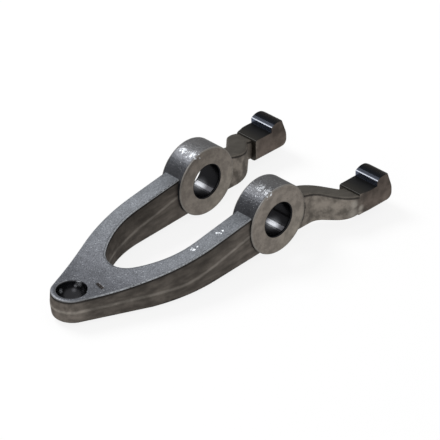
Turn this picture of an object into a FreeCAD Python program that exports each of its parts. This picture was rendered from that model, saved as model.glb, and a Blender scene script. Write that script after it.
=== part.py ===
"""Clutch fork: a forged release fork, one solid piece.

A flat nose with a ball socket widens into two arms round a long slot. Each arm runs into a bored boss on
the pivot axis, and behind each boss a rear arm steps outward to a block with a cam pad on top.

Frame: the origin is the middle of the pivot axis, +Y runs along that axis, +X points to the cam pads,
+Z is up. Millimetres. The +Y half is modelled, then mirrored in the XZ plane.
"""
import FreeCAD, Part
import math
import os
import re

import Sketcher
from FreeCAD import Vector

SIZES = {
    # Bosses on the pivot axis
    "bore_radius": 12.5,
    "bore_chamfer": 0.6,
    "boss_radius": 25.8,
    "boss_inner_face": 25.1,
    "boss_outer_face": 44.7,
    "boss_rim": 0.9,
    # Forging: draft of the side walls, and the trimmed flash land along the parting line
    "draft_angle": 5.0,
    "flash_land": 2.0,
    "nose_parting_drop": 14.0,
    "parting_climb_start": 80.0,
    "parting_climb": 0.226,
    "parting_bend": 20.0,
    "top_break": 0.65,
    "sole_round": 2.2,
    # Nose and front arms, at the parting line
    "nose_reach": 147.3,
    "nose_radius": 15.0,
    "arm_outer": 43.4,
    "arm_inner": 27.3,
    "shoulder_radius": 130.0,
    "shoulder_run": 90.3,
    "nose_wall": 36.5,
    "slot_end_radius": 16.5,
    "slot_flank_radius": 68.7,
    # Side profile
    "deck_drop": 5.2,
    "deck_bend_radius": 200.0,
    "crest_height": 14.5,
    "front_fall": 8.8,
    "rear_fall": 15.6,
    "sole_drop": 25.0,
    "nose_sole_drop": 23.1,
    "sole_break": 105.0,
    "sole_drop_at_pivot": 22.0,
    # Ball socket in the nose
    "socket_radius": 10.4,
    "socket_lead": 1.5,
    "socket_chamfer": 0.7,
    "socket_drill_radius": 2.2,
    "socket_drill_depth": 2.5,
    # Rear arms, at the parting line
    "rear_arm_width": 17.0,
    "rear_tip_width": 15.8,
    "rear_arm_centre": 35.7,
    "rear_tip_centre": 52.9,
    "rear_parting_drop": 9.5,
    "rear_sole_drop": 19.2,
    "rear_bend": 40.0,
    "rear_splay_angle": 48.0,
    "rear_inner_radius": 19.0,
    "rear_outer_radius": 11.0,
    # Cam block at each tip
    "block_inner_face": 41.1,
    "block_outer_face": 61.9,
    "block_front": 63.5,
    "block_floor_drop": 2.1,
    "block_front_round": 1.5,
    "pad_front": 79.7,
    "pad_crest": 86.2,
    "pad_crest_height": 4.0,
    "pad_radius": 11.0,
    "pad_back": 92.0,
    "block_heel": 96.2,
    "block_heel_round": 5.5,
    "block_end_drop": 9.0,
    "block_end_bulge": 14.0,
    "block_round": 2.8,
}
SHEET = "Sizes"

# How far cutting profiles reach past the solid
ROOM = 60.0

# Spans of the curve through each curved stretch of an arm's wall
ARM_SPANS = 5

# Where the two bevels of a broken rim meet, as a share of the rim's width in from both faces
BEVEL = 0.29

# How squarely a face must look up or down to count as an arm's top or sole
RIM_FACING = 0.7

# How near a point or a normal must come to count as on a face or along an axis
SLACK = 0.01


def sized(text):
    """An expression with each bare size name pointed at the sheet."""
    constants = {"ROOM": str(ROOM), "BEVEL": str(BEVEL)}
    words = re.split(r"(\w+)", text)
    return "".join(f"{SHEET}.{word}" if word in SIZES else constants.get(word, word) for word in words)


def write_sheet(doc):
    """The driving dimensions, one aliased cell each."""
    sheet = doc.addObject("Spreadsheet::Sheet", SHEET)
    for row, (name, value) in enumerate(SIZES.items(), start=1):
        sheet.set(f"A{row}", name)
        sheet.set(f"B{row}", str(value))
        sheet.setAlias(f"B{row}", name)
    doc.recompute()
    return sheet


class Sheet:
    """Reads the driving dimensions back from the sheet as attributes."""

    def __init__(self, sheet):
        self.sheet = sheet

    def __getattr__(self, name):
        return float(self.sheet.get(name))


def origin_plane(body, role):
    """One of the body's own origin planes, by its role."""
    for feature in body.Origin.OriginFeatures:
        if feature.Role == role:
            return feature
    raise RuntimeError(f"no origin plane {role}")


def plane_sketch(body, name, role, height="0"):
    """A sketch on an origin plane, lifted along its normal by an expression."""
    sketch = body.newObject("Sketcher::SketchObject", name)
    sketch.AttachmentSupport = [(origin_plane(body, role), "")]
    sketch.MapMode = "FlatFace"
    sketch.setExpression("AttachmentOffset.Base.z", sized(height))
    return sketch


def value_of(sketch, text):
    """What an expression of the sheet comes to."""
    return float(sketch.evalExpression(sized(text)))


def fix(sketch, kind, *where, to):
    """A driving constraint bound to an expression of the sheet."""
    index = sketch.addConstraint(Sketcher.Constraint(kind, *where, value_of(sketch, to)))
    sketch.setExpression(f"Constraints[{index}]", sized(to))


def place_point(sketch, geometry, end, across, up):
    """Holds one end of a line, or a point, at two expressions from the sketch's origin."""
    fix(sketch, "DistanceX", -1, 1, geometry, end, to=across)
    fix(sketch, "DistanceY", -1, 1, geometry, end, to=up)


def bulge(start, end, radius):
    """The arc from start to end that turns left about its centre."""
    chord = end - start
    to_centre = Vector(0, 0, 1).cross(chord).normalize()
    middle = (start + end) / 2
    centre = middle + to_centre * math.sqrt(radius ** 2 - (chord.Length / 2) ** 2)
    return Part.Arc(start, centre - to_centre * radius, end)


class Corner:
    """One corner of an outline: where it lies, and the arc that rounds it when it has a radius."""

    def __init__(self, sketch, before, corner, after):
        self.across, self.up, *radius = corner
        self.radius = radius[0] if radius else None
        self.spot = spot_at(sketch, corner)
        back = (spot_at(sketch, before) - self.spot).normalize()
        ahead = (spot_at(sketch, after) - self.spot).normalize()
        half = back.getAngle(ahead) / 2
        size = value_of(sketch, self.radius) if self.radius else 0.0
        self.arrive = self.spot + back * (size / math.tan(half))
        self.leave = self.spot + ahead * (size / math.tan(half))
        self.turns_left = ahead.cross(back).z > 0
        centre = self.spot + (back + ahead).normalize() * (size / math.sin(half))
        self.middle = centre + (self.spot - centre).normalize() * size if size else self.spot

    def hold(self, sketch, before, after):
        """Joins the edges on both sides of the corner, and ties the corner to its expressions."""
        if self.radius is None:
            sketch.addConstraint(Sketcher.Constraint("Coincident", before, 2, after, 1))
            place_point(sketch, after, 1, self.across, self.up)
            return
        ends = [self.arrive, self.leave] if self.turns_left else [self.leave, self.arrive]
        first, last = (1, 2) if self.turns_left else (2, 1)
        arc = sketch.addGeometry(Part.Arc(ends[0], self.middle, ends[1]))
        sketch.addConstraint(Sketcher.Constraint("Tangent", before, 2, arc, first))
        sketch.addConstraint(Sketcher.Constraint("Tangent", arc, last, after, 1))
        fix(sketch, "Radius", arc, to=self.radius)
        point = sketch.addGeometry(Part.Point(self.spot), True)
        sketch.addConstraint(Sketcher.Constraint("PointOnObject", point, 1, before))
        sketch.addConstraint(Sketcher.Constraint("PointOnObject", point, 1, after))
        place_point(sketch, point, 1, self.across, self.up)


def spot_at(sketch, corner):
    """The point that a corner's expressions come to."""
    return Vector(value_of(sketch, corner[0]), value_of(sketch, corner[1]), 0)


def outline(sketch, spots, bulges=None):
    """A closed outline through corners (across, up[, round radius]) given as expressions.

    A corner with a radius is an arc tangent to both of its lines. Bulges gives a radius to the edges,
    numbered by the corner they leave, that are arcs themselves.
    """
    bulges = bulges or {}
    after = spots[1:] + spots[:1]
    corners = [Corner(sketch, *run) for run in zip(spots[-1:] + spots[:-1], spots, after)]
    edges = []
    for index, (corner, following) in enumerate(zip(corners, corners[1:] + corners[:1])):
        if index in bulges:
            radius = value_of(sketch, bulges[index])
            edges.append(sketch.addGeometry(bulge(corner.leave, following.arrive, radius)))
            fix(sketch, "Radius", edges[-1], to=bulges[index])
        else:
            edges.append(sketch.addGeometry(Part.LineSegment(corner.leave, following.arrive)))
    for corner, before, edge in zip(corners, edges[-1:] + edges[:-1], edges):
        corner.hold(sketch, before, edge)


def circle(sketch, radius, across="0", up="0"):
    """A circle at two expressions from the sketch's origin."""
    centre = Vector(value_of(sketch, across), value_of(sketch, up), 0)
    ring = sketch.addGeometry(Part.Circle(centre, Vector(0, 0, 1), value_of(sketch, radius)))
    place_point(sketch, ring, 3, across, up)
    fix(sketch, "Radius", ring, to=radius)


# ---------------------------------------------------------------- front yoke

def arm_curve(point_at, start, end, leaving, arriving):
    """A smooth curve through points of one arm's wall, tangent to its neighbours at both ends."""
    step = (end.x - start.x) / ARM_SPANS
    points = [start] + [point_at(start.x + step * span) for span in range(1, ARM_SPANS)] + [end]
    curve = Part.BSplineCurve()
    curve.interpolate(Points=points, InitialTangent=leaving, FinalTangent=arriving)
    return curve


class YokeWalls:
    """The drafted side walls of the nose and one front arm, level by level.

    The parting line is level along the nose and climbs along the arm to the boss, so that the walls
    lean inward above and below a line that isn't flat.
    """

    def __init__(self, size):
        self.size = size
        self.slope = math.tan(math.radians(size.draft_angle))
        self.nose = Vector(-size.nose_reach, 0, 0)
        self.shoulder = Vector(size.shoulder_run - size.nose_reach, size.arm_outer - size.shoulder_radius, 0)
        self.slot_end = Vector(size.slot_end_radius + size.nose_wall - size.nose_reach, 0, 0)
        across = size.slot_flank_radius - size.arm_inner
        between = size.slot_flank_radius - size.slot_end_radius
        along = math.sqrt(between**2 - across**2)
        self.flank = Vector(self.slot_end.x + along, -across, 0)
        self.outward = self.common_tangent()
        self.along = Vector(self.outward.y, -self.outward.x, 0)
        self.slot_side = (self.slot_end - self.flank).normalize()

    def common_tangent(self):
        """Unit normal of the straight wall that touches both the nose and the shoulder arc."""
        size = self.size
        span = self.shoulder - self.nose
        lean = math.atan2(span.x, -span.y)
        turn = lean - math.acos((size.shoulder_radius - size.nose_radius) / span.Length)
        return Vector(-math.sin(turn), math.cos(turn), 0)

    def parting(self, x):
        """Height of the parting line's middle at x: level, then bending gently into its climb."""
        size = self.size
        bend = size.parting_bend
        past = max(0.0, x + size.parting_climb_start + bend / 2)
        run = past**2 / (2 * bend) if past < bend else past - bend / 2
        return -size.nose_parting_drop + size.parting_climb * run

    def level(self, name, x):
        """Height of a level at x, and how far its wall has leaned in from the parting line."""
        land = self.size.flash_land / 2
        if name == "land_low":
            return self.parting(x) - land, 0.0
        if name == "land_high":
            return self.parting(x) + land, 0.0
        if name == "floor":
            height = -self.size.sole_drop - self.size.sole_round
            return height, self.slope * (self.parting(x) - land - height)
        height = self.size.crest_height + self.size.top_break
        return height, self.slope * (height - self.parting(x) - land)

    def at(self, name, plan, outward, x):
        """A plan point moved in by its level's lean, at its level's height."""
        height, lean = self.level(name, x)
        moved = plan - outward * lean
        return Vector(moved.x, moved.y, height)

    def on_circle(self, name, centre, radius, outward, x):
        """Point of a level on an arc of the outline at x; outward is +1 or -1 from its centre."""
        height, lean = self.level(name, x)
        reach = radius - outward * lean
        return Vector(x, centre.y + math.sqrt(reach**2 - (x - centre.x) ** 2), height)

    def outline(self, name):
        """The level's closed outline: nose, shoulder, outer arm, pivot end, slot side, slot end, middle."""
        size = self.size
        nose, shoulder, flank, slot_end = self.nose, self.shoulder, self.flank, self.slot_end
        side = Vector(0, 1, 0)

        def shoulder_point(x):
            return self.on_circle(name, shoulder, size.shoulder_radius, 1, x)

        def flank_point(x):
            return self.on_circle(name, flank, size.slot_flank_radius, -1, x)

        def nose_point(direction):
            return self.at(name, nose + direction * size.nose_radius, direction, nose.x)

        def slot_point(direction):
            return self.at(name, slot_end + direction * size.slot_end_radius, -direction, slot_end.x)

        tip = Vector(-1, 0, 0)
        touch_nose = nose_point(self.outward)
        touch_shoulder = self.at(name, shoulder + self.outward * size.shoulder_radius, self.outward, nose.x)
        touch_slot = slot_point(self.slot_side)
        outer_end = self.at(name, Vector(0, size.arm_outer, 0), side, 0)
        inner_end = self.at(name, Vector(0, size.arm_inner, 0), -side, 0)
        shoulder_end = shoulder_point(shoulder.x)
        flank_start = flank_point(flank.x)
        round_slot = Vector(-self.slot_side.y, self.slot_side.x, 0)
        return [
            Part.Arc(nose_point(tip), nose_point((tip + self.outward).normalize()), touch_nose),
            Part.LineSegment(touch_nose, touch_shoulder),
            arm_curve(shoulder_point, touch_shoulder, shoulder_end, self.along, outer_end - shoulder_end),
            Part.LineSegment(shoulder_end, outer_end),
            Part.LineSegment(outer_end, inner_end),
            Part.LineSegment(inner_end, flank_start),
            arm_curve(flank_point, flank_start, touch_slot, flank_start - inner_end, round_slot),
            Part.Arc(touch_slot, slot_point((tip + self.slot_side).normalize()), slot_point(tip)),
            Part.LineSegment(slot_point(tip), nose_point(tip)),
        ]

    def solid(self):
        """The walls between the levels, closed by a floor and a roof."""
        rings = [[curve.toShape() for curve in self.outline(name)]
                 for name in ("floor", "land_low", "land_high", "roof")]
        faces = [Part.Face(Part.Wire(rings[0])), Part.Face(Part.Wire(rings[-1]))]
        for below, above in zip(rings, rings[1:]):
            faces += [Part.makeRuledSurface(low, high) for low, high in zip(below, above)]
        shell = Part.makeShell(faces)
        shell.sewShape()
        solid = Part.makeSolid(shell)
        if solid.Volume < 0:
            solid.reverse()
        return solid


def add_yoke_blank(doc, size):
    """The front yoke's +Y half between drafted walls, still too tall."""
    blank = doc.addObject("Part::Feature", "YokeBlank")
    blank.Shape = YokeWalls(size).solid()
    return blank


# ---------------------------------------------------------------- features of the half fork

def rear_arm_plan(body, name, height, lean):
    """The rear arm's splayed plan at a height, its walls moved in by a lean."""
    sketch = plane_sketch(body, name, "XY_Plane", height)
    half = f"(rear_arm_width / 2 - {lean})"
    tip_half = f"(rear_tip_width / 2 - {lean})"
    splay = "rear_splay_angle * 1deg"
    second_bend = f"(rear_bend + (rear_tip_centre - rear_arm_centre) / tan({splay}))"
    shift = f"({tip_half} - {half} * cos({splay})) / sin({splay})"
    tip_shift = f"{tip_half} * tan({splay} / 2)"
    end = "(block_front + pad_front) / 2"
    outline(sketch, [
        ("0", f"rear_arm_centre - {half}"),
        (f"rear_bend + {shift}", f"rear_arm_centre - {half}", f"rear_inner_radius + {half}"),
        (f"{second_bend} + {tip_shift}", f"rear_tip_centre - {tip_half}", f"rear_outer_radius - {tip_half}"),
        (end, f"rear_tip_centre - {tip_half}"),
        (end, f"rear_tip_centre + {tip_half}"),
        (f"{second_bend} - {tip_shift}", f"rear_tip_centre + {tip_half}", f"rear_outer_radius + {tip_half}"),
        (f"rear_bend - {shift}", f"rear_arm_centre + {half}", f"rear_inner_radius - {half}"),
        ("0", f"rear_arm_centre + {half}"),
    ])
    return sketch


def add_rear_arm(body):
    """The rear arm, drafted up and down from its parting line."""
    rise = "crest_height + top_break + rear_parting_drop"
    fall = "rear_sole_drop - rear_parting_drop"
    lean = "tan(draft_angle * 1deg)"
    sole = rear_arm_plan(body, "RearArmSole", "-rear_sole_drop", f"{lean} * ({fall})")
    parting = rear_arm_plan(body, "RearArmParting", "-rear_parting_drop", "0")
    top = rear_arm_plan(body, "RearArmTop", "crest_height + top_break", f"{lean} * ({rise})")
    loft = body.newObject("PartDesign::AdditiveLoft", "RearArm")
    loft.Profile = sole
    loft.Sections = [parting, top]
    loft.Ruled = True


def trim_yoke(body):
    """Cuts the yoke to its side profile: level deck, rise to the crest; level sole, rise to the pivot."""
    top = plane_sketch(body, "YokeTop", "XZ_Plane")
    outline(top, [
        ("-(nose_reach + ROOM)", "-deck_drop"),
        ("-(crest_height + deck_drop) / tan(front_fall * 1deg)", "-deck_drop", "deck_bend_radius"),
        ("0", "crest_height"),
        ("0", "ROOM"),
        ("-(nose_reach + ROOM)", "ROOM"),
    ])
    cut_through(body, top, "YokeTopTrim")
    sole = plane_sketch(body, "YokeSole", "XZ_Plane")
    outline(sole, [
        ("-(nose_reach + nose_radius)", "-nose_sole_drop"),
        ("-sole_break", "-sole_drop"),
        ("0", "-sole_drop_at_pivot"),
        ("0", "-ROOM"),
        ("-(nose_reach + nose_radius)", "-ROOM"),
    ])
    cut_through(body, sole, "YokeSoleTrim")


def trim_rear_arm(body):
    """Cuts the rear arm's top to its fall from the crest."""
    top = plane_sketch(body, "RearTop", "XZ_Plane")
    outline(top, [
        ("0", "crest_height"),
        ("pad_back", "crest_height - pad_back * tan(rear_fall * 1deg)"),
        ("pad_back", "ROOM"),
        ("0", "ROOM"),
    ])
    cut_through(body, top, "RearTopTrim")


def cut_through(body, sketch, name):
    """A pocket through everything on both sides of its sketch."""
    pocket = body.newObject("PartDesign::Pocket", name)
    pocket.Profile = sketch
    pocket.SideType = "Symmetric"
    pocket.Type = "ThroughAll"
    return pocket


def across_pad(body, sketch, name, start, end):
    """A pad of an XZ sketch between two distances from the middle, towards +Y."""
    sketch.setExpression("AttachmentOffset.Base.z", sized(f"-({start})"))
    pad = body.newObject("PartDesign::Pad", name)
    pad.Profile = sketch
    pad.Reversed = True
    pad.setExpression("Length", sized(f"{end} - ({start})"))
    return pad


def add_boss(body):
    """The pivot boss, faced on both sides, its rims broken by a steep and a flat bevel."""
    sketch = plane_sketch(body, "BossSection", "XY_Plane")
    outline(sketch, [
        ("0", "boss_inner_face"),
        ("boss_radius - boss_rim", "boss_inner_face"),
        ("boss_radius - boss_rim * BEVEL", "boss_inner_face + boss_rim * BEVEL"),
        ("boss_radius", "boss_inner_face + boss_rim"),
        ("boss_radius", "boss_outer_face - boss_rim"),
        ("boss_radius - boss_rim * BEVEL", "boss_outer_face - boss_rim * BEVEL"),
        ("boss_radius - boss_rim", "boss_outer_face"),
        ("0", "boss_outer_face"),
    ])
    boss = body.newObject("PartDesign::Revolution", "Boss")
    boss.Profile = sketch
    boss.ReferenceAxis = (sketch, ["V_Axis"])


def pad_height(x):
    """Height of the cam pad's round at an expression for x."""
    return f"(pad_crest_height - pad_radius + sqrt(pad_radius^2 - ({x} - pad_crest)^2))"


def add_cam_block(body):
    """The block at the rear arm's tip: machined floor, step and rounded cam pad."""
    sketch = plane_sketch(body, "BlockSection", "XZ_Plane")
    outline(sketch, [
        ("block_front", "-rear_sole_drop"),
        ("block_heel", "-rear_sole_drop", "block_heel_round"),
        ("block_heel", "-block_end_drop", "block_end_bulge"),
        ("pad_back", pad_height("pad_back")),
        ("pad_front", pad_height("pad_front")),
        ("pad_front", "-block_floor_drop"),
        ("block_front", "-block_floor_drop", "block_front_round"),
    ], bulges={3: "pad_radius"})
    across_pad(body, sketch, "CamBlock", "block_inner_face", "block_outer_face")


def round_block(body):
    """The round along the block's sole and up its end, on both sides."""
    def below_pad(point, one, other):
        side, skin = (one, other) if abs(one.y) > abs(other.y) else (other, one)
        return abs(side.y) > 1 - SLACK and abs(skin.y) < SLACK and (skin.x > SLACK or skin.z < -SLACK)

    dress(body, "Fillet", "BlockRound", below_pad, "block_round")


def add_bore(body):
    """The pivot bore through the boss."""
    sketch = plane_sketch(body, "BoreSection", "XZ_Plane")
    circle(sketch, "bore_radius")
    cut_through(body, sketch, "Bore")


def cut_on_nose_axis(body, kind, name, height, **sizes):
    """A primitive cut on the socket's axis, its origin at a height and its sizes given as expressions."""
    cutter = body.newObject(f"PartDesign::Subtractive{kind}", name)
    cutter.AttachmentSupport = [(origin_plane(body, "XY_Plane"), "")]
    cutter.MapMode = "FlatFace"
    cutter.setExpression("AttachmentOffset.Base.x", sized("-nose_reach"))
    cutter.setExpression("AttachmentOffset.Base.z", sized(height))
    for size_name, text in sizes.items():
        cutter.setExpression(size_name, sized(text))
    body.Document.recompute()


def add_socket(body):
    """The ball socket in the nose: chamfered mouth, short straight lead, spherical seat and a drill point."""
    seat = "-(deck_drop + socket_lead)"
    cut_on_nose_axis(body, "Sphere", "BallSeat", seat, Radius="socket_radius")
    cut_on_nose_axis(body, "Cylinder", "SocketLead", seat, Radius="socket_radius", Height="ROOM")
    cut_on_nose_axis(body, "Cone", "SocketMouth", "-(deck_drop + socket_chamfer)", Radius1="socket_radius",
                     Radius2="socket_radius + socket_chamfer", Height="socket_chamfer")
    drill_foot = f"{seat} - socket_radius - socket_drill_depth"
    cut_on_nose_axis(body, "Cylinder", "SocketDrill", drill_foot, Radius="socket_drill_radius",
                     Height="socket_radius + socket_drill_depth")


def edges_where(shape, test):
    """Names of the edges between two faces for which test(middle point, one normal, other normal) holds."""
    names = []
    for number, edge in enumerate(shape.Edges, start=1):
        first, last = edge.ParameterRange
        middle = edge.valueAt((first + last) / 2)
        faces = shape.ancestorsOfType(edge, Part.Face)
        if len(faces) != 2:
            continue
        normals = [face.normalAt(*face.Surface.parameter(middle)) for face in faces]
        if test(middle, *normals):
            names.append(f"Edge{number}")
    return names


def dress(body, kind, name, test, size):
    """A fillet or chamfer of one size on the edges of the tip that pass a test."""
    base = body.Tip
    names = edges_where(base.Shape, test)
    if not names:
        raise RuntimeError(f"no edges for {name}")
    feature = body.newObject(f"PartDesign::{kind}", name)
    feature.Base = (base, names)
    feature.setExpression("Size" if kind == "Chamfer" else "Radius", sized(size))
    body.Document.recompute()


def is_rim(upward):
    """A test for the edges where an arm's top, or its sole, meets its drafted side walls."""
    def test(point, one, other):
        facing, wall = (one, other) if abs(one.z) > abs(other.z) else (other, one)
        leans = SLACK < abs(wall.z) < 1 - RIM_FACING
        return facing.z * upward > RIM_FACING and leans
    return test


def round_rims(body):
    """The rounds along an arm's top and sole."""
    dress(body, "Chamfer", "TopBreak", is_rim(1), "top_break")
    dress(body, "Fillet", "SoleRound", is_rim(-1), "sole_round")


def join(body, other):
    """Adds another body's solid."""
    union = body.newObject("PartDesign::Boolean", "With" + other.Label)
    union.Type = "Fuse"
    union.setObjects([other])
    body.Document.recompute()


def add_bore_chamfer(body):
    """The broken edges of the bore."""
    size = Sheet(body.Document.getObject(SHEET))

    def around_bore(point, one, other):
        return abs(math.hypot(point.x, point.z) - size.bore_radius) < SLACK

    dress(body, "Chamfer", "BoreChamfer", around_bore, "bore_chamfer")


def add_mirror(body):
    """The other half."""
    mirror = body.newObject("PartDesign::Mirrored", "OtherHalf")
    mirror.TransformMode = "Whole shape"
    mirror.MirrorPlane = (origin_plane(body, "XZ_Plane"), [""])
    mirror.Refine = True
    body.Tip = mirror


def new_body(doc, name, steps, base=None):
    """A body built by its steps in order."""
    body = doc.addObject("PartDesign::Body", name)
    body.BaseFeature = base
    doc.recompute()
    for step in steps:
        step(body)
        doc.recompute()
    return body


def check(doc, solid):
    """Raises an error if any object failed, or if the fork isn't one valid solid."""
    for item in doc.Objects:
        if "Invalid" in item.State or "Error" in item.State:
            raise RuntimeError(f"{item.Name} failed: {item.getStatusString()}")
        shape = getattr(item, "Shape", None)
        if shape is not None and item.isDerivedFrom("PartDesign::Feature") and not shape.isValid():
            raise RuntimeError(f"{item.Name} has a faulty shape")
    if solid.isNull() or not solid.isValid() or len(solid.Solids) != 1:
        raise RuntimeError("the fork is not one valid solid")


def build():
    """Builds the fork's two arms, cam blocks and bosses as one solid and writes its STEP file."""
    doc = FreeCAD.newDocument("ClutchFork")
    blank = add_yoke_blank(doc, Sheet(write_sheet(doc)))
    rear_arm = new_body(doc, "RearArmBody", [add_rear_arm, trim_rear_arm, round_rims])
    cam_block = new_body(doc, "CamBlockBody", [add_cam_block, round_block])
    fork = new_body(doc, "clutch_fork", [trim_yoke, round_rims], blank)
    join(fork, rear_arm)
    join(fork, cam_block)
    for step in (add_boss, add_bore, add_socket, add_bore_chamfer, add_mirror):
        step(fork)
        doc.recompute()
    check(doc, fork.Shape)
    os.makedirs("parts", exist_ok=True)
    fork.Shape.exportStep(f"parts/{fork.Label}.step")


build()
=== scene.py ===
import math

import bmesh
import bpy
from bpy.props import FloatProperty, FloatVectorProperty, PointerProperty
from mathutils import Matrix, Vector
from mathutils.kdtree import KDTree


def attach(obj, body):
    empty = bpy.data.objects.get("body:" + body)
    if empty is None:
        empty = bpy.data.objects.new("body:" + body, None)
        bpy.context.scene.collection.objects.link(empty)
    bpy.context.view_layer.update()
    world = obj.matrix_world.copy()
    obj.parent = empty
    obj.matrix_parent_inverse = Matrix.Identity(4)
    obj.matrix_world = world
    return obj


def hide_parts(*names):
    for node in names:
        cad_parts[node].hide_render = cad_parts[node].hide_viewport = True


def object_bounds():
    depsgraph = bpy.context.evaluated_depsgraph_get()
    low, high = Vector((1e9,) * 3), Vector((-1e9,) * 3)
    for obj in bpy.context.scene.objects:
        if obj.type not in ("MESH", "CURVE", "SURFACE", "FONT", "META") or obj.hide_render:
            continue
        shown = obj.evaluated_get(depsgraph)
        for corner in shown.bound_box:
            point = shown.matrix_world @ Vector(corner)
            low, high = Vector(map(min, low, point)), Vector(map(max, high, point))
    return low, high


bl_info = {
    "name": "Clutch Fork Finish",
    "version": (1, 0, 0),
    "blender": (4, 5, 0),
    "location": "View3D > Sidebar > Clutch Fork",
    "description": "Finishes a forged clutch fork: forged skin, machined faces, stage, lamps and camera",
    "category": "Object",
}

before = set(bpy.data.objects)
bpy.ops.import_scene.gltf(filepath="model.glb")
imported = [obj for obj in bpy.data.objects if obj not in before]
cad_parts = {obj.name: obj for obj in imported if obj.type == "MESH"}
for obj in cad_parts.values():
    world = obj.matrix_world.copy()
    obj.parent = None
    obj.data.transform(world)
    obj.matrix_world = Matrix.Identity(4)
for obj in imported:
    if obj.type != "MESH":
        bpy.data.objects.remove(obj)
CAD_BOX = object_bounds()

FORK_NODE = "clutch_fork"
EDGE_LAYER = "edge_near"

# Sizes of the fork, in metres, that the finish follows
MM = 0.001
BORE_RADIUS = 12.5 * MM
BOSS_RADIUS = 25.8 * MM
BOSS_RIM = 0.9 * MM
SOCKET_X = -147.3 * MM
SOCKET_RADIUS = 10.4 * MM
DECK_HEIGHT = -5.2 * MM
PARTING_HEIGHT = -14.0 * MM
PARTING_CLIMB_START = -90.0 * MM
PARTING_CLIMB = 0.226
PARTING_BEND = 20.0 * MM
FLASH_LAND = 2.0 * MM
BLOCK_FRONT = 63.5 * MM
BLOCK_BLEND = 9.0 * MM
ARM_SIDE = 60.8 * MM
REAR_PARTING_HEIGHT = -9.5 * MM
DRAFT = 0.0875
PAD_FRONT = 79.7 * MM

# The skin's mesh: what is merged, where shading breaks, and how far the edge layer, which places painted edge
# highlights and shade, reaches from a sharp convex edge
MERGE_GAP = 0.002 * MM
BLEND_MERGE_GAP = 0.02 * MM
SPLIT_ROUNDS = 7
SHARP_DEGREES = 50.0
CREASE_DEGREES = 20.0
MARKED_EDGE_DEGREES = 25.0
SLIVER_AREA = (0.1 * MM) ** 2
EDGE_REACH = 3.0 * MM

# The struck mark on the deck
DENT_ENDS = (Vector((-131.7, -8.2, -5.2)) * MM, Vector((-132.8, -13.6, -5.2)) * MM)
DENT_RADIUS = 2.1 * MM
DENT_DEPTH = 4.0

# Rubbed marks on the arms' tops, and on the barrels' tops marks that are partly painted highlight, in millimetres:
# place and reach
FLECKS = (
    ((-68.8, -32.9, 3.9), 3.0),
    ((-66.0, -33.4, 4.4), 2.2),
    ((-47.0, -34.9, 7.3), 3.0),
    ((-44.0, -35.6, 7.7), 1.8),
    ((-111.5, 3.2, -2.8), 1.8),
    ((-74.9, 23.3, 2.9), 1.8),
    ((-60.5, 24.9, 5.1), 1.8),
    ((-8.6, 29.4, 24.3), 7.0),
    ((-8.6, 38.0, 24.3), 6.0),
    ((-8.2, -41.8, 24.4), 6.5),
    ((-7.0, -35.0, 24.8), 5.5),
)

# Pale patches on the outer side where a rear arm meets its block: place and reach
PALE_PATCHES = (
    ((64.0, -60.8, -18.0), 3.5),
    ((64.5, -60.8, -13.5), 3.5),
    ((58.0, -60.5, -8.0), 4.5),
    ((57.0, -60.8, -15.0), 6.0),
)

# Painted reflections in each bore, pale patches of colour: place and reach
BORE_HIGHLIGHTS = (
    ((5.0, 39.3, -11.5), 8.0),
    ((5.8, -33.3, -11.1), 7.0),
)

# Painted highlights in the ball socket: place and reach
GLINTS = (
    ((-137.7, 4.0, -7.4), 3.0),
    ((-149.2, 9.5, -10.4), 2.2),
    ((-139.2, 5.9, -9.3), 1.6),
)

# Marks of the forged and blasted skin, in marks to a metre
SPARK_SCALE = 1500.0
DECK_GRAIN = 1100.0
BUMP_GRAIN = 1000.0
BARE_GRAIN = 900.0
FLECK_GRAIN = 850.0
TURNED_RINGS = 2600.0
STREAK_SCALE = 260.0
FACE_BLOTCHES = 160.0
BLOCK_BLOTCHES = 130.0
ARM_BLOTCHES = 120.0
BUMP_SWELL = 120.0
SKIN_PATCHES = 70.0
BARE_PATCHES = 55.0

# The steel: how far it acts as bare metal, the tint of its gloss, and the roughness of each finish
METALLIC = 0.85
GLOSS_TINT = (0.4, 0.4, 0.4)
WALL_ROUGHNESS = 0.55
TOP_ROUGHNESS = 0.48
MACHINED_ROUGHNESS = 0.42
FLOOR_ROUGHNESS = 0.38
POLISHED_ROUGHNESS = 0.25
BUMP_STRENGTH = 0.5
BUMP_HEIGHT = 0.1 * MM
SWELL_SHARE = 2.5
CALM_SHARE = 0.02

# The stage, in metres, degrees and plain shares
GROUND_HALF_WIDTH = 4.0
GROUND_COLOUR = (0.9, 0.9, 0.9)
GROUND_ROUGHNESS = 0.9
GROUND_WHITENESS = 0.85
WORLD_STRENGTH = 0.6
LAMP_AIM = (-0.03, 0.0, 0.0)
LAMP_SIZE = 0.8
KEY_PLACE = (-0.2, 1.2, 1.5)
FILL_PLACE = (-1.6, -1.0, 0.9)
CAMERA_PLACE = (-0.97681, -1.01919, 0.90396)
CAMERA_AZIMUTH = 43.419
CAMERA_ELEVATION = 33.214
CAMERA_ROLL = -1.394
SENSOR_WIDTH = 36.0


# ---------------------------------------------------------------- settings

def tint(name, description, default):
    """A colour setting."""
    return FloatVectorProperty(name=name, description=description, subtype="COLOR", size=3,
                               min=0.0, max=1.0, default=default)


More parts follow.
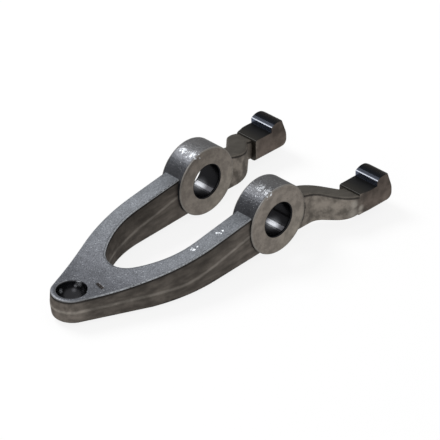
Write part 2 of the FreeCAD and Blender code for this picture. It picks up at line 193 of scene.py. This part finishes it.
class ForkForgingSettings(bpy.types.PropertyGroup):
    """Fineness of the forged skin, and the colours of its surfaces."""

    edge_length: FloatProperty(
        name="Edge length", description="Longest mesh edge of the forged skin",
        default=1.9 * MM, min=0.5 * MM, max=5 * MM, unit="LENGTH")
    deck_colour: tint("Deck", "Shot-blasted top of the nose", (0.088, 0.092, 0.103))
    arm_top_colour: tint("Arm tops", "Shot-blasted top of the front arms near the bosses", (0.132, 0.14, 0.153))
    wall_colour: tint("Walls", "Drafted side walls of the front arms", (0.073, 0.064, 0.056))
    land_colour: tint("Trim land", "Trimmed flash land along the walls", (0.125, 0.113, 0.1))
    rear_top_colour: tint("Rear tops", "Top of the rear arms", (0.086, 0.079, 0.069))
    rear_side_colour: tint("Rear sides", "Sides of the rear arms", (0.2, 0.178, 0.154))
    # Painted highlight: the pale line along the front arms' top edges
    bevel_highlight_colour: tint("Top edges", "Rubbed bevel along the front arms' top edges", (0.33, 0.345, 0.365))
    # Painted shade: the dark line just under the sharp edges
    shadow_colour: tint("Edge scale", "Dark scale beside the sharp edges", (0.016, 0.015, 0.0145))
    # Pale patches where a rear arm meets its block
    pale_patch_colour: tint("Scuffs", "Light scuffs where a rear arm meets its block", (0.36, 0.335, 0.3))
    dent_colour: tint("Struck mark", "Bottom of the struck mark on the deck", (0.018, 0.014, 0.012))
    faced_colour: tint("Boss faces", "Turned faces of the bosses", (0.196, 0.174, 0.152))
    # Painted reflection: the warmer, lighter lower part of the turned faces
    warm_face_reflection_colour: tint("Boss faces, warm", "Warmer lower part of the turned faces", (0.26, 0.235, 0.2))
    rim_colour: tint("Boss rims", "Rim round each turned face", (0.25, 0.235, 0.215))
    # Painted shade: the dark front of the boss barrels
    barrel_shade_colour: tint("Barrel front", "Scale on the front of the boss barrels", (0.04, 0.0415, 0.046))
    # Painted light: the paler top of the boss barrels
    barrel_colour_and_light: tint("Barrel top", "Top of the boss barrels", (0.082, 0.081, 0.082))
    bore_colour: tint("Bores", "Polished pivot bores", (0.012, 0.012, 0.0135))
    # Painted reflection: the pale patches in the bores
    bore_highlight_colour: tint("Bore shine", "Palest polished metal in the bores", (0.33, 0.34, 0.36))
    socket_colour: tint("Socket", "Ball socket", (0.03, 0.03, 0.033))
    # Painted highlights: the pale spots in the ball socket
    glint_colour: tint("Socket spots", "Pale rubbed spots in the ball socket", (0.8, 0.82, 0.86))
    block_colour: tint("Blocks", "Sides of the cam blocks", (0.105, 0.086, 0.074))
    block_face_colour: tint("Block fronts", "Front faces of the cam blocks", (0.05, 0.0455, 0.04))
    block_edge_colour: tint("Block front edges", "Round over each block's front", (0.013, 0.0125, 0.0115))
    floor_front_colour: tint("Block floors, front", "Front of the milled floors", (0.03, 0.0285, 0.0255))
    floor_colour: tint("Block floors", "Milled floors beside the pads", (0.016, 0.016, 0.0165))
    pad_colour: tint("Pads", "Hardened cam pads", (0.0045, 0.0055, 0.008))
    # Painted reflection: the browner back of the pads
    pad_back_reflection_colour: tint("Pads, back", "Back of the cam pads", (0.026, 0.0235, 0.022))
    # Painted highlight: the pale front lip of the pads
    lip_highlight_colour: tint("Pad lips", "Rubbed front edge of the pads", (0.075, 0.08, 0.09))
    riser_colour: tint("Pad risers", "Blued step up to each pad", (0.1, 0.115, 0.155))
    # Rubbed bare metal, and partly painted highlight: the same pale colour makes the glints on the barrels' tops
    fleck_and_glint_colour: tint("Flecks", "Bare metal on worn places", (0.75, 0.78, 0.82))


class ForkStageSettings(bpy.types.PropertyGroup):
    """The lamps and the camera."""

    key_watts: FloatProperty(
        name="Key lamp", description="Power of the large lamp behind the fork",
        default=26.0, min=0.0, soft_max=200.0, unit="POWER")
    fill_watts: FloatProperty(
        name="Fill lamp", description="Power of the lamp beside the camera",
        default=6.0, min=0.0, soft_max=200.0, unit="POWER")
    lens: FloatProperty(
        name="Lens", description="Focal length of the camera on a 36 mm sensor",
        default=199.375, min=20.0, max=400.0, unit="CAMERA")


# ---------------------------------------------------------------- node helpers

class Nodes:
    """Adds shader nodes to one material and links them. A mask runs from 0 to 1."""

    def __init__(self, name):
        self.material = bpy.data.materials.new(name)
        self.material.use_nodes = True
        self.tree = self.material.node_tree
        self.tree.nodes.clear()
        self.output = self.tree.nodes.new("ShaderNodeOutputMaterial")

    def plug(self, socket, value):
        """Links a socket, or gives it a plain value."""
        if isinstance(value, bpy.types.NodeSocket):
            self.tree.links.new(value, socket)
        elif hasattr(socket.default_value, "__len__") and len(socket.default_value) == 4 and len(value) == 3:
            socket.default_value = (*value, 1.0)
        else:
            socket.default_value = value

    def add(self, kind, settings=None, **inputs):
        """A node whose inputs are named with underscores for spaces."""
        node = self.tree.nodes.new("ShaderNode" + kind)
        for name, value in (settings or {}).items():
            setattr(node, name, value)
        for name, value in inputs.items():
            self.plug(node.inputs[name.replace("_", " ")], value)
        return node

    def math(self, operation, *values):
        node = self.add("Math", {"operation": operation})
        for socket, value in zip(node.inputs, values):
            self.plug(socket, value)
        return node.outputs[0]

    def vector(self, operation, *values, output="Vector"):
        node = self.add("VectorMath", {"operation": operation})
        for socket, value in zip(node.inputs, values):
            self.plug(socket, value)
        return node.outputs[output]

    def scaled(self, vector, scale):
        return self.add("VectorMath", {"operation": "SCALE"}, Vector=vector, Scale=scale).outputs["Vector"]

    def mix(self, mask, first, second):
        """One colour where the mask is 0, and another where it is 1."""
        return self.add("Mix", {"data_type": "RGBA"}, Factor=mask, A=first, B=second).outputs["Result"]

    def blend(self, mask, first, second):
        """One number where the mask is 0, and another where it is 1."""
        return self.add("Mix", Factor=mask, A=first, B=second).outputs["Result"]

    def span(self, value, low, high, start=0.0, end=1.0):
        """Eases from start to end as a value runs from low to high."""
        node = self.add("MapRange", {"interpolation_type": "SMOOTHSTEP"})
        for socket, number in zip(node.inputs, (value, low, high, start, end)):
            self.plug(socket, number)
        return node.outputs[0]

    def noise(self, vector, scale, detail=3.0, roughness=0.55):
        return self.add("TexNoise", Vector=vector, Scale=scale, Detail=detail, Roughness=roughness).outputs["Fac"]

    def flip(self, mask):
        return self.math("SUBTRACT", 1.0, mask)

    def both(self, *masks):
        """Where every mask holds, as their product."""
        product = masks[0]
        for mask in masks[1:]:
            product = self.math("MULTIPLY", product, mask)
        return product

    def most(self, *masks):
        """Where any mask holds, as the largest of them."""
        largest = masks[0]
        for mask in masks[1:]:
            largest = self.math("MAXIMUM", largest, mask)
        return largest

    def within(self, value, low, high, soft):
        """A band of values with soft ends."""
        return self.both(self.span(value, low - soft, low + soft), self.span(value, high + soft, high - soft))

    def shade(self, colour, value, low, high, darkest, lightest):
        """A colour made darker or lighter as a value runs from low to high."""
        return self.scaled(colour, self.span(value, low, high, darkest, lightest))

    def mottle(self, colour, noise, darkest, lightest):
        """A colour made darker and lighter by a noise, whose values lie mostly between 0.3 and 0.7."""
        return self.shade(colour, noise, 0.3, 0.7, darkest, lightest)


class Zones:
    """Masks and noises over the surfaces of the fork, by place and by the way that a face looks."""

    def __init__(self, nodes):
        self.nodes = nodes
        self.place = nodes.add("TexCoord").outputs["Object"]
        self.x, self.y, self.z = nodes.add("SeparateXYZ", Vector=self.place).outputs
        facing = nodes.add("NewGeometry").outputs["True Normal"]
        self.facing_x, self.facing_y, self.facing_z = nodes.add("SeparateXYZ", Vector=facing).outputs
        self.sideways = nodes.math("ABSOLUTE", self.facing_y)
        self.radius = self.length(self.x, self.z)
        self.edge = nodes.add("Attribute", {"attribute_name": EDGE_LAYER}).outputs["Fac"]
        self.up = nodes.span(self.facing_z, 0.55, 0.85)
        self.rear = nodes.span(self.x, 5 * MM, 12 * MM)
        self.bevel = nodes.both(nodes.within(self.facing_z, 0.6, 0.8, 0.04), nodes.span(self.edge, 0.8, 0.95))
        self.mark_bosses()
        self.mark_socket()
        self.mark_blocks()
        self.skin_patches = nodes.noise(self.place, SKIN_PATCHES, 4.0, 0.6)
        self.bare_patches = nodes.noise(self.place, BARE_PATCHES, 4.0, 0.6)
        self.bare_grain = nodes.noise(self.place, BARE_GRAIN, 2.0)
        self.streaks = nodes.noise(nodes.vector("MULTIPLY", self.place, (0.25, 1.0, 1.0)), STREAK_SCALE, 4.0)

    def mark_bosses(self):
        """The turned faces, the bores, the barrels and the rims between barrel and face."""
        nodes = self.nodes
        self.faced = nodes.both(nodes.span(self.sideways, 0.9, 0.97),
                                nodes.span(self.radius, BOSS_RADIUS, BOSS_RADIUS - 0.4 * MM))
        self.bore = nodes.span(self.radius, BORE_RADIUS + 0.9 * MM, BORE_RADIUS + 0.7 * MM)
        outward = nodes.math("ADD", nodes.math("MULTIPLY", self.facing_x, self.x),
                             nodes.math("MULTIPLY", self.facing_z, self.z))
        self.barrel = nodes.both(
            nodes.span(nodes.math("DIVIDE", outward, self.radius), 0.93, 0.98),
            nodes.within(self.radius, BOSS_RADIUS - 0.9 * MM, BOSS_RADIUS + 0.6 * MM, 0.2 * MM))
        self.rim = nodes.both(
            nodes.within(self.radius, BOSS_RADIUS - 1.1 * BOSS_RIM, BOSS_RADIUS + 0.3 * BOSS_RIM, 0.1 * MM),
            nodes.span(self.sideways, 0.15, 0.3), nodes.span(self.edge, 0.5, 0.7))

    def mark_socket(self):
        """The ball socket in the nose, with its lead."""
        nodes = self.nodes
        from_axis = self.length(nodes.math("SUBTRACT", self.x, SOCKET_X), self.y)
        self.socket = nodes.both(nodes.span(from_axis, SOCKET_RADIUS + 0.6 * MM, SOCKET_RADIUS + 0.2 * MM),
                                 nodes.span(self.z, DECK_HEIGHT - 0.1 * MM, DECK_HEIGHT - 0.5 * MM))

    def mark_blocks(self):
        """The cam blocks: their floors and fronts, the risers and the pads."""
        nodes = self.nodes
        self.block = nodes.span(self.x, BLOCK_FRONT - 0.3 * MM, BLOCK_FRONT)
        self.floor = nodes.both(self.block, nodes.span(self.x, PAD_FRONT, PAD_FRONT - 0.2 * MM),
                                nodes.most(nodes.span(self.facing_z, 0.6, 0.9),
                                           nodes.span(self.facing_x, -0.15, -0.35)))
        past_riser = nodes.span(self.x, PAD_FRONT - 0.3 * MM, PAD_FRONT - 0.1 * MM)
        forwards = nodes.span(self.facing_x, -0.8, -0.95)
        self.riser = nodes.both(past_riser, forwards)
        self.pad = nodes.both(past_riser, nodes.most(nodes.span(self.facing_z, 0.4, 0.6), forwards))

    def length(self, first, second):
        nodes = self.nodes
        squares = nodes.math("ADD", nodes.math("POWER", first, 2.0), nodes.math("POWER", second, 2.0))
        return nodes.math("SQRT", squares)

    def above_parting(self):
        """Height above the parting line, which is level at the nose, bends, and climbs to the bosses."""
        nodes = self.nodes
        past = nodes.math("MAXIMUM", nodes.math("SUBTRACT", self.x, PARTING_CLIMB_START), 0.0)
        bent = nodes.math("MULTIPLY", nodes.math("POWER", nodes.math("MINIMUM", past, PARTING_BEND), 2.0),
                          0.5 / PARTING_BEND)
        run = nodes.math("ADD", bent, nodes.math("MAXIMUM", nodes.math("SUBTRACT", past, PARTING_BEND), 0.0))
        parting = nodes.math("MULTIPLY_ADD", run, PARTING_CLIMB, PARTING_HEIGHT)
        return nodes.math("SUBTRACT", self.z, parting)

    def spots(self, places):
        """Soft balls round places, each with its reach, in millimetres."""
        nodes = self.nodes
        balls = []
        for spot, reach in places:
            gap = nodes.vector("DISTANCE", self.place, Vector(spot) * MM, output="Value")
            balls.append(nodes.span(gap, reach * MM, 0.2 * reach * MM))
        return nodes.most(*balls)

    def dent(self):
        """The struck mark on the deck: nearness to the line between its two ends."""
        start, end = DENT_ENDS
        nodes = self.nodes
        from_start = nodes.vector("SUBTRACT", self.place, start)
        along = nodes.vector("DOT_PRODUCT", from_start, (end - start) / (end - start).length_squared, output="Value")
        along = nodes.math("MINIMUM", nodes.math("MAXIMUM", along, 0.0), 1.0)
        gap = nodes.vector("DISTANCE", from_start, nodes.scaled(end - start, along), output="Value")
        return nodes.span(gap, DENT_RADIUS, 0.3 * DENT_RADIUS)


# ---------------------------------------------------------------- the steel

def deck_colour(nodes, zones, settings):
    """Shot-blasted tops of the nose and the front arms, darker just before the bosses."""
    deck = nodes.mix(nodes.span(zones.x, -128 * MM, -70 * MM), settings.deck_colour, settings.arm_top_colour)
    deck = nodes.mottle(deck, nodes.noise(zones.place, DECK_GRAIN, 2.0), 0.72, 1.3)
    deck = nodes.mottle(deck, zones.skin_patches, 0.88, 1.08)
    return nodes.shade(deck, zones.x, -42 * MM, -24 * MM, 1.0, 0.68)


def wall_colour(nodes, zones, settings):
    """Drafted walls with the paler trimmed land along their parting line."""
    above = zones.above_parting()
    land = nodes.within(above, -0.5 * FLASH_LAND, 0.5 * FLASH_LAND, 0.8 * MM)
    wall = nodes.mix(land, settings.wall_colour, settings.land_colour)
    # Painted shade: darker high above the parting line, lighter from just below it
    wall = nodes.shade(wall, above, 12 * MM, -2 * MM, 0.85, 1.12)
    wall = nodes.mottle(wall, zones.streaks, 0.75, 1.25)
    wall = nodes.shade(wall, zones.x, -75 * MM, -30 * MM, 1.0, 1.3)
    wall = nodes.mottle(wall, zones.skin_patches, 0.85, 1.25)
    nose = nodes.span(zones.x, -140 * MM, -156 * MM)
    return nodes.shade(wall, nose, 0.0, 1.0, 1.0, 1.6)


def skin_colour(nodes, zones, settings):
    """The forged skin: tops and walls of the front arms, and tops and blotched sides of the rear arms."""
    rear_top = nodes.mottle(settings.rear_top_colour, zones.streaks, 0.85, 1.1)
    blotches = nodes.noise(zones.place, ARM_BLOTCHES, 5.0, 0.6)
    rear_side = nodes.shade(settings.rear_side_colour, blotches, 0.35, 0.65, 0.55, 1.25)
    top = nodes.mix(zones.rear, deck_colour(nodes, zones, settings), rear_top)
    side = nodes.mix(zones.rear, wall_colour(nodes, zones, settings), rear_side)
    return nodes.mix(zones.up, side, top)


def barrel_colour_and_light(nodes, zones, settings):
    """Boss barrels: painted shade in front and painted light on top, with the near barrel painted darker than the far
    one.
    """
    # Painted shade on the front of the barrels, lighter towards the top
    barrel = nodes.mix(nodes.span(zones.x, -17 * MM, 6 * MM), settings.barrel_shade_colour, settings.barrel_colour_and_light)
    barrel = nodes.mottle(barrel, zones.bare_grain, 0.8, 1.2)
    barrel = nodes.mottle(barrel, zones.bare_patches, 0.85, 1.15)
    # Painted light: the near barrel darker, the far barrel lighter
    barrel = nodes.shade(barrel, zones.y, -20 * MM, 20 * MM, 0.88, 1.1)
    # Painted light: lighter towards the top of the barrels
    return nodes.shade(barrel, zones.z, 16 * MM, 23 * MM, 1.0, 1.3)


def boss_face_colour(nodes, zones, settings):
    """Turned boss faces: fine rings and soft blotches, warmer and lighter towards the lower back as painted
    reflection.
    """
    rings = nodes.add("TexNoise", {"noise_dimensions": "1D"}, W=zones.radius, Scale=TURNED_RINGS, Detail=2.0)
    face = nodes.mottle(settings.faced_colour, rings.outputs["Fac"], 0.92, 1.08)
    # Painted reflection, warmer and lighter towards the lower back
    warm = nodes.both(nodes.span(zones.x, -12 * MM, 16 * MM), nodes.span(zones.z, 10 * MM, -18 * MM), 0.6)
    face = nodes.mix(warm, face, settings.warm_face_reflection_colour)
    blotches = nodes.noise(zones.place, FACE_BLOTCHES, 5.0, 0.65)
    return nodes.shade(face, blotches, 0.35, 0.65, 0.82, 1.2)


def add_block_sides(nodes, zones, settings, colour):
    """Block sides, which grow out of the rear arms' sides, with pale patches between the two."""
    block = nodes.mottle(settings.block_colour, nodes.noise(zones.place, BLOCK_BLOTCHES, 4.0), 0.7, 1.25)
    block = nodes.shade(block, zones.z, -18 * MM, 2 * MM, 1.25, 0.75)
    side = nodes.both(nodes.span(zones.x, BLOCK_FRONT - 6 * MM, BLOCK_FRONT + 6 * MM), nodes.flip(zones.up))
    colour = nodes.mix(side, colour, block)
    # Pale patches where a rear arm meets its block
    scuffs = nodes.both(zones.spots(PALE_PATCHES), nodes.span(zones.bare_patches, 0.3, 0.6, 0.3, 0.7))
    return nodes.mix(scuffs, colour, settings.pale_patch_colour)


def add_edges(nodes, zones, settings, colour):
    """The painted highlight along the top edges, the painted shade beside sharp edges, and the boss rims."""
    # Painted highlight along the front arms' top edges, fainter at the nose
    bevel = nodes.both(zones.bevel, nodes.flip(zones.rear), nodes.span(zones.bare_grain, 0.3, 0.55, 0.6, 1.0),
                       nodes.span(zones.x, -150 * MM, -138 * MM, 0.35, 1.0))
    colour = nodes.mix(bevel, colour, settings.bevel_highlight_colour)
    block_foot = nodes.both(nodes.span(zones.x, 54 * MM, 58 * MM), nodes.span(zones.z, -7 * MM, -9 * MM))
    # Painted shade in a band beside the sharp edges, kept off the tops, bevels, machined faces, blocks and rims
    bare = (zones.up, zones.bevel, zones.faced, zones.block, zones.barrel, zones.rim, block_foot)
    scale = nodes.both(nodes.span(zones.edge, 0.35, 0.65), *(nodes.flip(zone) for zone in bare), 0.8)
    colour = nodes.mix(scale, colour, settings.shadow_colour)
    return nodes.mix(nodes.both(zones.rim, 0.6), colour, settings.rim_colour)


def wear_and_glints(nodes, zones):
    """Where bare metal shows: fine sparks and rubbed flecks on the blasted tops, and on the barrels' tops sparks and
    flecks that are partly painted highlight.
    """
    sparks = nodes.span(nodes.noise(zones.place, SPARK_SCALE, 1.0), 0.66, 0.76)
    # Partly painted highlight: sparks on the barrels' tops
    barrel_glint_zone = nodes.both(zones.barrel, nodes.span(zones.z, 12 * MM, 18 * MM))
    sparks = nodes.both(sparks, nodes.most(zones.up, barrel_glint_zone), nodes.flip(zones.rear), 0.4)
    fine = nodes.noise(nodes.vector("MULTIPLY", zones.place, (0.6, 1.0, 1.0)), FLECK_GRAIN, 3.0)
    close = zones.spots(FLECKS)
    flecks = nodes.both(nodes.span(close, 0.0, 0.1),
                        nodes.span(nodes.math("MULTIPLY_ADD", close, 0.2, fine), 0.64, 0.74),
                        nodes.blend(zones.barrel, 1.0, 0.3), 0.9)
    return nodes.most(sparks, flecks)


def block_floor_colour(nodes, zones, settings):
    """Milled floors that darken towards the pads, with a dark round in front over a paler front face."""
    darker = nodes.span(zones.x, BLOCK_FRONT, BLOCK_FRONT + 11 * MM)
    floor = nodes.mix(darker, settings.floor_front_colour, settings.floor_colour)
    front_round = nodes.span(zones.x, BLOCK_FRONT + 1.8 * MM, BLOCK_FRONT + 1.2 * MM)
    floor = nodes.mix(front_round, floor, settings.block_edge_colour)
    front_face = nodes.span(zones.x, BLOCK_FRONT + 0.2 * MM, BLOCK_FRONT + 0.1 * MM)
    return nodes.mix(front_face, floor, settings.block_face_colour)


def pad_colour(nodes, zones, settings):
    """Hardened pads with a painted highlight along the front lip over a blued riser, and browner at the back as
    painted reflection.
    """
    # Painted reflection: browner towards the back
    pad = nodes.mix(nodes.span(zones.x, 83 * MM, 91 * MM), settings.pad_colour, settings.pad_back_reflection_colour)
    # Painted highlight along the front lip
    lip = nodes.both(nodes.span(zones.x, PAD_FRONT + 0.9 * MM, PAD_FRONT + 0.3 * MM), nodes.flip(zones.riser))
    pad = nodes.mix(lip, pad, settings.lip_highlight_colour)
    return nodes.mix(zones.riser, pad, settings.riser_colour)


def add_bores(nodes, zones, settings, colour):
    """Polished bores with painted reflections, and the ball socket with its painted highlights."""
    # Painted reflections in the bores
    bore = nodes.mix(nodes.both(zones.spots(BORE_HIGHLIGHTS), 0.2), settings.bore_colour, settings.bore_highlight_colour)
    colour = nodes.mix(zones.bore, colour, bore)
    colour = nodes.mix(zones.socket, colour, settings.socket_colour)
    # Painted highlights in the ball socket
    return nodes.mix(nodes.both(zones.spots(GLINTS), zones.socket, 0.8), colour, settings.glint_colour)


def fork_colour(nodes, zones, settings):
    """Colour of the whole fork: the skin with its painted light and shade, the machined surfaces, and the rubbed
    flecks with painted glints, then the hardened ones.
    """
    colour = skin_colour(nodes, zones, settings)
    colour = nodes.mix(zones.barrel, colour, barrel_colour_and_light(nodes, zones, settings))
    colour = nodes.mix(zones.faced, colour, boss_face_colour(nodes, zones, settings))
    colour = add_block_sides(nodes, zones, settings, colour)
    colour = add_edges(nodes, zones, settings, colour)
    colour = nodes.mix(nodes.both(zones.dent(), 0.94), colour, settings.dent_colour)
    colour = nodes.mix(wear_and_glints(nodes, zones), colour, settings.fleck_and_glint_colour)
    colour = nodes.mix(zones.floor, colour, block_floor_colour(nodes, zones, settings))
    colour = nodes.mix(zones.pad, colour, pad_colour(nodes, zones, settings))
    return add_bores(nodes, zones, settings, colour)


def fork_roughness(nodes, zones, polished):
    """Roughness of the walls, the blasted tops, the turned bosses, the floors and the polished surfaces."""
    rough = nodes.blend(zones.up, WALL_ROUGHNESS, TOP_ROUGHNESS)
    rough = nodes.blend(nodes.most(zones.faced, zones.barrel), rough, MACHINED_ROUGHNESS)
    rough = nodes.blend(zones.floor, rough, FLOOR_ROUGHNESS)
    return nodes.blend(polished, rough, POLISHED_ROUGHNESS)


def fork_bump(nodes, zones, polished):
    """Grain and slow waves of the forged skin, nearly none on machined faces, and the struck mark."""
    grain = nodes.noise(zones.place, BUMP_GRAIN, 3.0)
    swell = nodes.noise(zones.place, BUMP_SWELL, 3.0)
    height = nodes.math("MULTIPLY_ADD", swell, SWELL_SHARE, grain)
    calm = nodes.most(zones.faced, polished, zones.floor)
    height = nodes.both(height, nodes.blend(calm, 1.0, CALM_SHARE))
    height = nodes.math("MULTIPLY_ADD", zones.dent(), -DENT_DEPTH, height)
    return nodes.add("Bump", Strength=BUMP_STRENGTH, Distance=BUMP_HEIGHT, Height=height).outputs["Normal"]


def fork_steel(settings):
    """Shot-blasted forging with dark drafted walls, turned boss faces, polished bores and hardened pads."""
    nodes = Nodes("fork_steel")
    zones = Zones(nodes)
    polished = nodes.most(zones.bore, zones.socket, zones.pad)
    shader = nodes.add("BsdfPrincipled", Base_Color=fork_colour(nodes, zones, settings), Metallic=METALLIC,
                       Roughness=fork_roughness(nodes, zones, polished),
                       Normal=fork_bump(nodes, zones, polished), Specular_Tint=GLOSS_TINT)
    nodes.plug(nodes.output.inputs["Surface"], shader.outputs["BSDF"])
    return nodes.material


# ---------------------------------------------------------------- the fork

def refined_copy(node, name, edge_length):
    """A merged copy of a CAD node with its long edges split, its block sides eased and its edges marked."""
    piece = bpy.data.objects.new(name, node.data.copy())
    bpy.context.collection.objects.link(piece)
    mesh = bmesh.new()
    mesh.from_mesh(piece.data)
    bmesh.ops.remove_doubles(mesh, verts=mesh.verts, dist=MERGE_GAP)
    for _ in range(SPLIT_ROUNDS):
        long_edges = [edge for edge in mesh.edges if edge.calc_length() > edge_length]
        if not long_edges:
            break
        bmesh.ops.subdivide_edges(mesh, edges=long_edges, cuts=1)
        bmesh.ops.triangulate(mesh, faces=[face for face in mesh.faces if len(face.verts) > 3])
    blend_block_sides(mesh)
    mark_edges(mesh)
    for face in mesh.faces:
        face.smooth = True
    for edge in mesh.edges:
        edge.smooth = not is_crease(edge)
    mesh.to_mesh(piece.data)
    mesh.free()
    return piece


def blend_block_sides(mesh):
    """Eases the small step where each cam block's outer side leaves its rear arm."""
    for vertex in mesh.verts:
        x, y, z = vertex.co
        past = (x - BLOCK_FRONT) / BLOCK_BLEND
        arm_side = ARM_SIDE - DRAFT * abs(z - REAR_PARTING_HEIGHT)
        if -0.01 < past < 1.0 and abs(y) > arm_side:
            ease = max(past, 0.0) ** 2 * (3.0 - 2.0 * max(past, 0.0))
            vertex.co.y = math.copysign(arm_side + (abs(y) - arm_side) * ease, y)
    bmesh.ops.remove_doubles(mesh, verts=mesh.verts, dist=BLEND_MERGE_GAP)


def mark_edges(mesh):
    """Writes the nearness to a sharp convex edge to the edge layer: 1 on the edge, falling to 0 at the reach. The
    layer places painted highlights and shade along the edges.
    """
    layer = mesh.verts.layers.float.new(EDGE_LAYER)
    # Vertices on sharp convex edges, from which the painted edge highlight and shade are placed
    worn = {vertex for edge in mesh.edges if is_marked_edge(edge) for vertex in edge.verts}
    tree = KDTree(len(worn))
    for index, vertex in enumerate(worn):
        tree.insert(vertex.co, index)
    tree.balance()
    for vertex in mesh.verts:
        gap = tree.find(vertex.co)[2]
        vertex[layer] = max(0.0, 1.0 - gap / EDGE_REACH)


def is_crease(edge):
    """Whether shading breaks at an edge: a sharp corner, or a shallower inner corner between two forms."""
    if len(edge.link_faces) != 2:
        return True
    angle = math.degrees(edge.calc_face_angle_signed())
    return angle > SHARP_DEGREES or angle < -CREASE_DEGREES


def is_marked_edge(edge):
    """Whether an edge is convex and sharp, between two faces that aren't slivers."""
    faces = edge.link_faces
    if len(faces) != 2 or min(face.calc_area() for face in faces) < SLIVER_AREA:
        return False
    return edge.calc_face_angle_signed() > math.radians(MARKED_EDGE_DEGREES)


class OBJECT_OT_fork_forging(bpy.types.Operator):
    """Make the forged skin of the clutch fork and finish its machined faces"""

    bl_idname = "object.fork_forging"
    bl_label = "Forging"
    bl_options = {"REGISTER", "UNDO"}

    def execute(self, context):
        settings = context.scene.fork_forging
        piece = refined_copy(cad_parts[FORK_NODE], "fork_forging", settings.edge_length)
        piece.data.materials.clear()
        piece.data.materials.append(fork_steel(settings))
        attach(piece, "root")
        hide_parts(FORK_NODE)
        return {"FINISHED"}


# ---------------------------------------------------------------- stage

def area_lamp(name, place, watts):
    """A square softbox that faces the fork."""
    data = bpy.data.lights.new(name, "AREA")
    data.shape = "SQUARE"
    data.size = LAMP_SIZE
    data.energy = watts
    lamp = bpy.data.objects.new(name, data)
    lamp.location = place
    lamp.rotation_euler = (Vector(LAMP_AIM) - Vector(place)).to_track_quat("-Z", "Y").to_euler()
    bpy.context.collection.objects.link(lamp)


def white_ground():
    """White ground that keeps a pale shadow, and shows white in reflections too."""
    nodes = Nodes("floor_white")
    path = nodes.add("LightPath").outputs
    seen = nodes.most(path["Is Camera Ray"], path["Is Glossy Ray"], path["Is Transmission Ray"])
    ground = nodes.add("BsdfPrincipled", Base_Color=GROUND_COLOUR, Roughness=GROUND_ROUGHNESS)
    white = nodes.add("Emission", Color=(1.0, 1.0, 1.0), Strength=1.0)
    mixer = nodes.add("MixShader")
    for socket, value in zip(mixer.inputs, (nodes.both(seen, GROUND_WHITENESS), ground.outputs[0], white.outputs[0])):
        nodes.plug(socket, value)
    nodes.plug(nodes.output.inputs["Surface"], mixer.outputs[0])
    return nodes.material


def studio_world():
    """Even light all round, which shows white to the camera and in reflections."""
    world = bpy.data.worlds.new("studio")
    world.use_nodes = True
    tree = world.node_tree
    tree.nodes.clear()
    path = tree.nodes.new("ShaderNodeLightPath")
    seen = tree.nodes.new("ShaderNodeMath")
    seen.operation = "MAXIMUM"
    tree.links.new(path.outputs["Is Camera Ray"], seen.inputs[0])
    tree.links.new(path.outputs["Is Glossy Ray"], seen.inputs[1])
    strength = tree.nodes.new("ShaderNodeMapRange")
    strength.inputs["To Min"].default_value = WORLD_STRENGTH
    tree.links.new(seen.outputs[0], strength.inputs["Value"])
    background = tree.nodes.new("ShaderNodeBackground")
    background.inputs["Color"].default_value = (1.0, 1.0, 1.0, 1.0)
    tree.links.new(strength.outputs[0], background.inputs["Strength"])
    output = tree.nodes.new("ShaderNodeOutputWorld")
    tree.links.new(background.outputs[0], output.inputs["Surface"])
    return world


def flat_floor():
    """Ground under the lowest point of the fork."""
    floor = bpy.data.objects.new("floor", bpy.data.meshes.new("floor"))
    mesh = bmesh.new()
    bmesh.ops.create_grid(mesh, x_segments=1, y_segments=1, size=GROUND_HALF_WIDTH,
                          matrix=Matrix.Translation((0.0, 0.0, CAD_BOX[0][2])))
    mesh.to_mesh(floor.data)
    mesh.free()
    bpy.context.collection.objects.link(floor)
    floor.data.materials.append(white_ground())
    return floor


def view_camera(lens):
    """A long-lens camera that looks down on the fork from the side of its nose."""
    data = bpy.data.cameras.new("camera")
    data.lens = lens
    data.sensor_width = SENSOR_WIDTH
    camera = bpy.data.objects.new("camera", data)
    bpy.context.collection.objects.link(camera)
    azimuth, elevation, roll = (math.radians(turn) for turn in (CAMERA_AZIMUTH, CAMERA_ELEVATION, CAMERA_ROLL))
    forward = Vector((math.sin(azimuth) * math.cos(elevation), math.cos(azimuth) * math.cos(elevation),
                      -math.sin(elevation)))
    right = Vector((math.cos(azimuth), -math.sin(azimuth), 0.0))
    up = right.cross(forward)
    across = right * math.cos(roll) + up * math.sin(roll)
    upright = up * math.cos(roll) - right * math.sin(roll)
    turned = Matrix((across, upright, -forward)).transposed().to_4x4()
    camera.matrix_world = Matrix.Translation(CAMERA_PLACE) @ turned
    return camera


class OBJECT_OT_fork_stage(bpy.types.Operator):
    """Set the floor, the soft lamps and the camera"""

    bl_idname = "object.fork_stage"
    bl_label = "Stage"
    bl_options = {"REGISTER", "UNDO"}

    def execute(self, context):
        settings = context.scene.fork_stage
        flat_floor()
        context.scene.world = studio_world()
        area_lamp("key", KEY_PLACE, settings.key_watts)
        area_lamp("fill", FILL_PLACE, settings.fill_watts)
        context.scene.camera = view_camera(settings.lens)
        context.scene.view_settings.view_transform = "Standard"
        return {"FINISHED"}


class VIEW3D_PT_fork(bpy.types.Panel):
    """Lists the fork's pieces and their settings."""

    bl_label = "Clutch Fork"
    bl_idname = "VIEW3D_PT_fork"
    bl_space_type = "VIEW_3D"
    bl_region_type = "UI"
    bl_category = "Clutch Fork"

    def draw(self, context):
        for operator, group in (("object.fork_forging", context.scene.fork_forging),
                                ("object.fork_stage", context.scene.fork_stage)):
            box = self.layout.box()
            box.operator(operator)
            for name in group.__annotations__:
                box.prop(group, name)


CLASSES = (ForkForgingSettings, ForkStageSettings, OBJECT_OT_fork_forging, OBJECT_OT_fork_stage, VIEW3D_PT_fork)


def register():
    for item in CLASSES:
        bpy.utils.register_class(item)
    bpy.types.Scene.fork_forging = PointerProperty(type=ForkForgingSettings)
    bpy.types.Scene.fork_stage = PointerProperty(type=ForkStageSettings)


def unregister():
    del bpy.types.Scene.fork_stage
    del bpy.types.Scene.fork_forging
    for item in reversed(CLASSES):
        bpy.utils.unregister_class(item)


def main():
    register()
    bpy.ops.object.fork_forging()
    bpy.ops.object.fork_stage()


if __name__ == "__main__":
    main()
